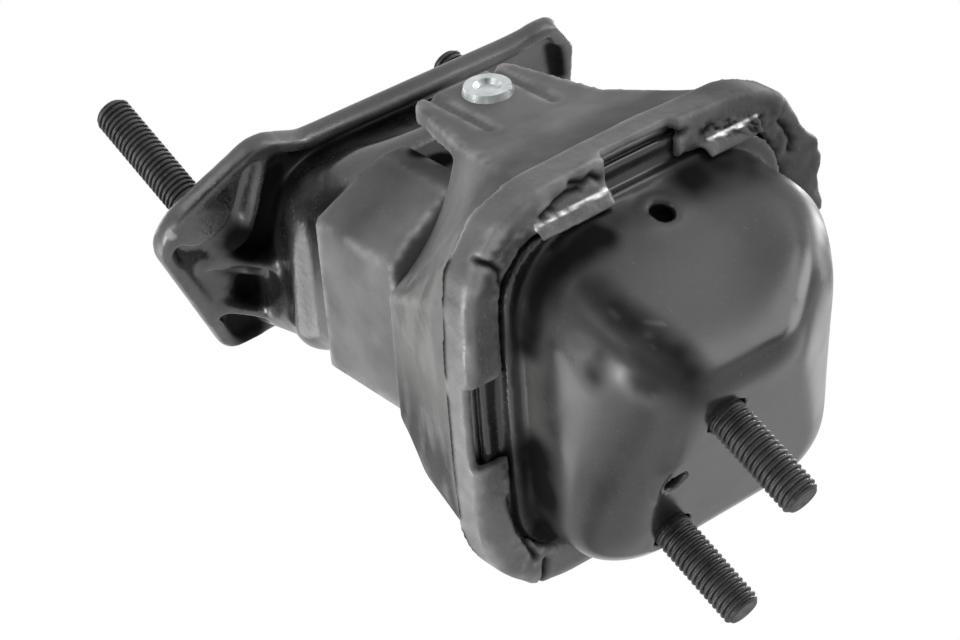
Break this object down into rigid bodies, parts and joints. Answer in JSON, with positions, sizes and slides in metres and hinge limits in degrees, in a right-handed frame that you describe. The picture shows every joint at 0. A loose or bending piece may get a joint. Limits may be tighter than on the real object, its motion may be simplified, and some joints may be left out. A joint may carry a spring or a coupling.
{
  "type": "engine mount",
  "caption": "Hydraulic engine mount: cast flange bracket on a rubber spring in a crimped steel housing, with a drawn cup and threaded studs at both ends.",
  "frame": {"origin": "midway between the two lower studs, on the cup's level seat face", "axes": "+Z from the lower seat up to the bracket's mounting face, +X along the line of the lower studs towards the front"},
  "size_m": [0.1483, 0.1479, 0.2055],
  "materials": {
    "bracket_paint": "gloss black paint on a cast bracket",
    "stud_steel": "dark phosphate on rolled threads",
    "sleeve_rubber": "matte moulded rubber",
    "spring_rubber": "natural rubber compound",
    "housing_coat": "satin black coat with bare scratches at the crimp",
    "shield_rubber": "matte rubber with mould flow streaks",
    "rivet_zinc": "zinc plate",
    "track_metal": "die-cast aluminium",
    "cup_paint": "gloss black paint on drawn steel"
  },
  "bodies": {
    "root": {"upper_bracket": "bracket_paint", "upper_stud_front": "stud_steel", "upper_stud_rear": "stud_steel", "snubber_sleeve": "sleeve_rubber", "rubber_spring": "spring_rubber", "crimped_housing": "housing_coat", "rubber_shield": "shield_rubber", "shield_rivet": "rivet_zinc", "track_upper": "track_metal", "track_lower": "track_metal", "decoupler_disc": "spring_rubber", "diaphragm": "spring_rubber", "lower_cup": "cup_paint", "lower_stud_front": "stud_steel", "lower_stud_rear": "stud_steel"}
  },
  "joints": []
}
